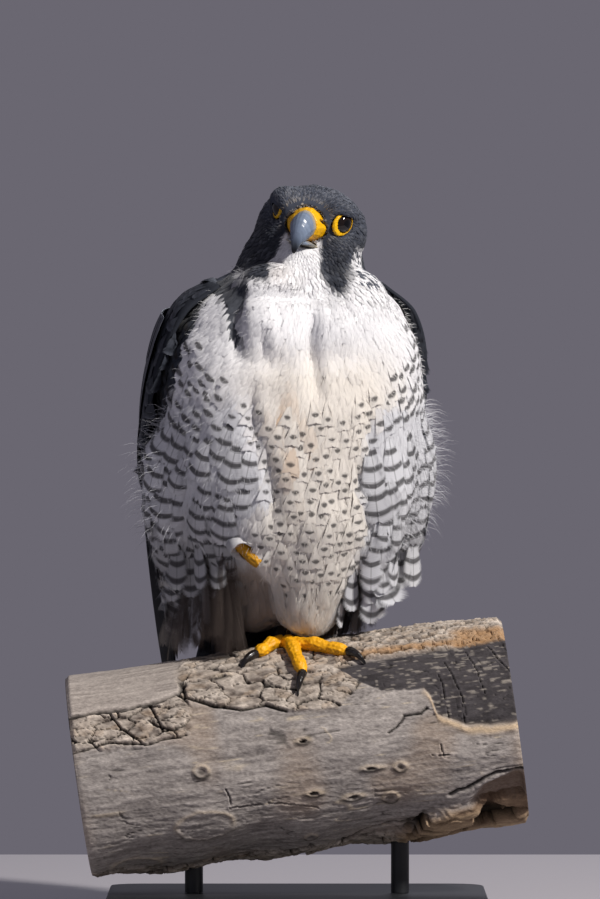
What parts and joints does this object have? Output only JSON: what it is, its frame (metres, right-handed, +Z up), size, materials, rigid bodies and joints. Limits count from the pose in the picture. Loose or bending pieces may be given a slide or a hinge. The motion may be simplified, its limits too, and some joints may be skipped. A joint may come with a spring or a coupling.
{
  "type": "peregrine falcon model on a perch",
  "caption": "Life-size still model of a fluffed-up peregrine falcon resting on one leg, on a cut length of thick branch held over a flat base by rods.",
  "frame": {"origin": "middle of the underside of the stand's base plate", "axes": "+Z up; the branch runs along X; the falcon's breast faces -Y, turned a little towards +X"},
  "size_m": [0.3057, 0.2163, 0.4801],
  "materials": {
    "slate_plumage": "close, soft slate-grey feathers",
    "white_plumage": "soft white feathers with dark spots and bars",
    "flight_feathers": "firm, faintly glossy dark feathers",
    "horn": "polished blue-grey horn, black at the tip",
    "yellow_skin": "bare waxy yellow skin, scaly on the toes",
    "eye": "wet, very dark brown",
    "claw": "polished black horn",
    "bark": "weathered, cracked grey-brown bark",
    "stand_steel": "satin black powder coat"
  },
  "bodies": {
    "root": {"head": "slate_plumage", "neck": "white_plumage", "torso": "white_plumage", "leg_left": "white_plumage", "wing_left": "flight_feathers", "wing_right": "flight_feathers", "tail": "flight_feathers", "eye_left": "eye", "eye_right": "eye", "eye_ring_left": "yellow_skin", "eye_ring_right": "yellow_skin", "cere": "yellow_skin", "bill_upper": "horn", "bill_lower": "horn", "foot_left": "yellow_skin", "claw_left_1": "claw", "claw_left_2": "claw", "claw_left_3": "claw", "claw_left_4": "claw", "foot_right": "yellow_skin", "perch": "bark", "stand_base": "stand_steel", "stand_rod_left": "stand_steel", "stand_rod_right": "stand_steel"}
  },
  "joints": []
}
